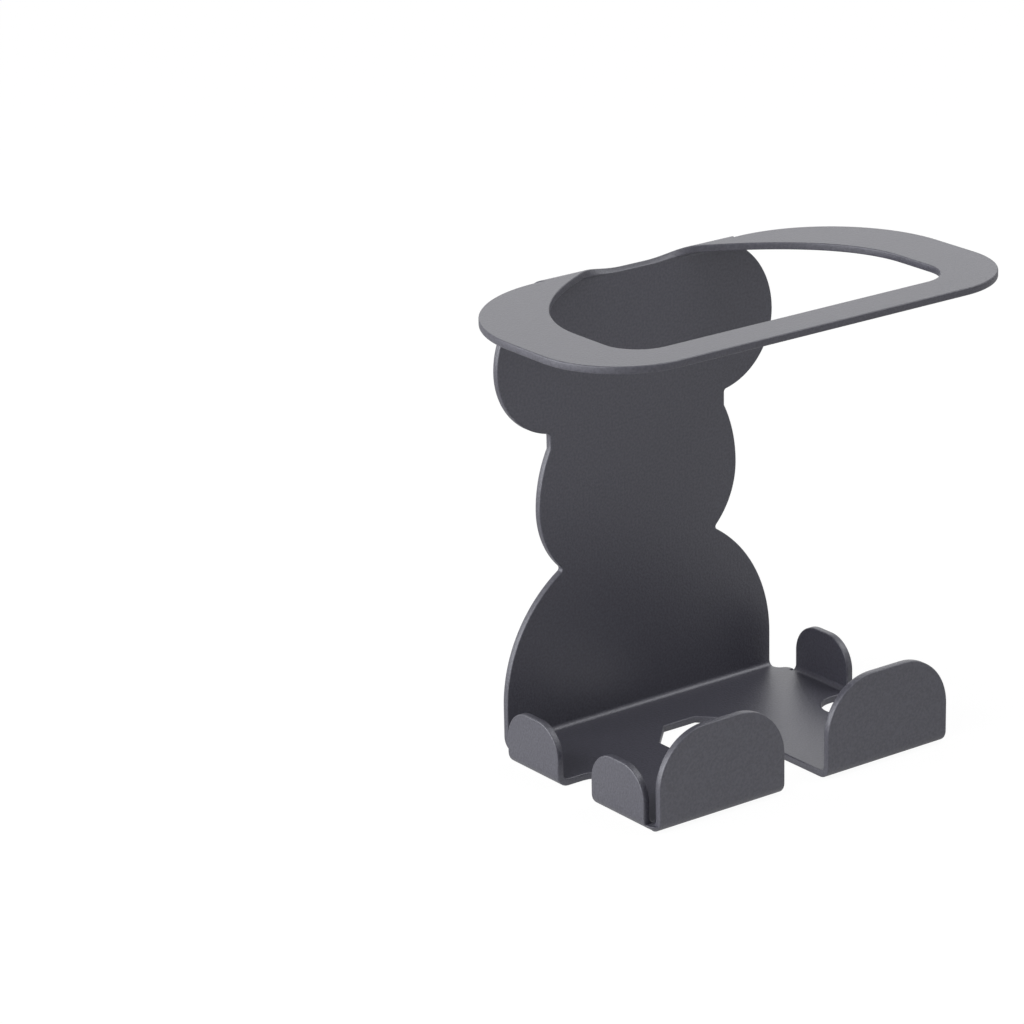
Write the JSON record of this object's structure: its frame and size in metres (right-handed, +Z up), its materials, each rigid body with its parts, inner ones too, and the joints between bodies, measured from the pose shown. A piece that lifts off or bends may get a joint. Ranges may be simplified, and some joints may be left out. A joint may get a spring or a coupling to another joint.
{
  "type": "wall-mounted razor holder",
  "caption": "Folded sheet-metal wall holder for an electric razor: lobed back plate, open ring above, slotted floor with upturned tabs, foam tape on the back.",
  "frame": {"origin": "centre of the wall face of the middle tape strip", "axes": "+X to the viewer's right, -Y out of the wall towards the room, +Z up"},
  "size_m": [0.1064, 0.0605, 0.0965],
  "materials": {
    "powder_coat": "fine satin powder coat, dark anthracite",
    "foam_tape": "matt white acrylic foam"
  },
  "bodies": {
    "root": {"folded_bracket": "powder_coat", "foam_tape_top": "foam_tape", "foam_tape_middle": "foam_tape", "foam_tape_bottom": "foam_tape"}
  },
  "joints": []
}
